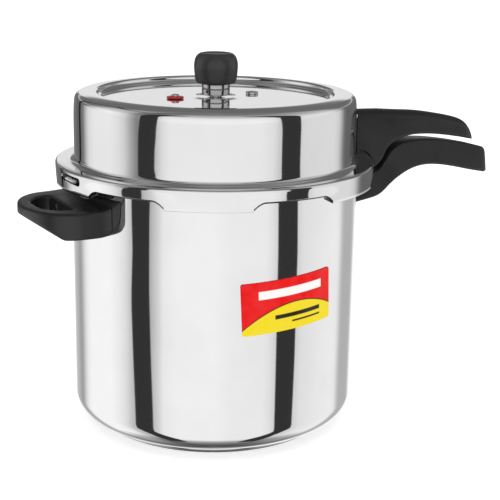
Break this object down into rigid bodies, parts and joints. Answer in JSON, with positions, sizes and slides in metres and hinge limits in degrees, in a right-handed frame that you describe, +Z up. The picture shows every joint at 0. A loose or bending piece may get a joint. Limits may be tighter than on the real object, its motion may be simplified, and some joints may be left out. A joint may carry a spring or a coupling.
{
  "type": "pressure canner",
  "caption": "Tall stove-top pressure canner in polished steel with an outer locking lid, black handles, a weight on a vent tube and a rack inside.",
  "frame": {"origin": "centre of the base's underside, on the pot's axis", "axes": "+Z up along the pot's axis, +X along the long handles, -X along the helper handle"},
  "size_m": [0.4815, 0.2812, 0.33],
  "materials": {
    "polished_steel": "polished",
    "satin_steel": "satin",
    "aluminium": "satin",
    "black_plastic": "satin",
    "seal_rubber": "matte",
    "red_rubber": "satin",
    "label_paper": "gloss"
  },
  "bodies": {
    "pot": {"pot_shell": "polished_steel", "base_cap": "polished_steel", "base_core": "aluminium", "label": "label_paper", "pot_handle": "black_plastic", "pot_handle_bracket": "satin_steel", "pot_handle_screw": "satin_steel", "helper_handle": "black_plastic", "helper_bracket": "satin_steel", "helper_screw_left": "satin_steel", "helper_screw_right": "satin_steel"},
    "rack": {"rack": "satin_steel"},
    "gasket": {"gasket": "seal_rubber"},
    "lid": {"lid_shell": "polished_steel", "lid_handle": "black_plastic", "lid_handle_bracket": "polished_steel", "lid_handle_screw": "satin_steel", "vent_tube": "satin_steel", "vent_nut": "satin_steel", "safety_plug": "satin_steel", "safety_plug_nut": "satin_steel", "indicator_grommet": "red_rubber"},
    "indicator_pin": {"indicator_pin": "satin_steel"},
    "weight_clip": {"weight_clip": "satin_steel"},
    "weight": {"weight_body": "polished_steel", "weight_knob": "black_plastic", "weight_needle": "satin_steel"}
  },
  "joints": [
    {"name": "lid_lift", "type": "slide", "parent": "pot", "child": "gasket", "axis": [0, 0, 1], "range_m": [0, 0.12]},
    {"name": "lid_turn", "type": "hinge", "parent": "gasket", "child": "lid", "pos_m": [0, 0, 0.23], "axis": [0, 0, 1], "range_deg": [0, 30]},
    {"name": "weight_lift", "type": "slide", "parent": "lid", "child": "weight_clip", "axis": [0, 0, 1], "range_m": [0, 0.035]},
    {"name": "weight_spin", "type": "hinge", "parent": "weight_clip", "child": "weight", "pos_m": [0, 0, 0.3], "axis": [0, 0, 1], "continuous": true},
    {"name": "indicator_rise", "type": "slide", "parent": "lid", "child": "indicator_pin", "axis": [0, 0, 1], "range_m": [0, 0.005]},
    {"name": "rack_lift", "type": "slide", "parent": "pot", "child": "rack", "axis": [0, 0, 1], "range_m": [0, 0.24]}
  ]
}
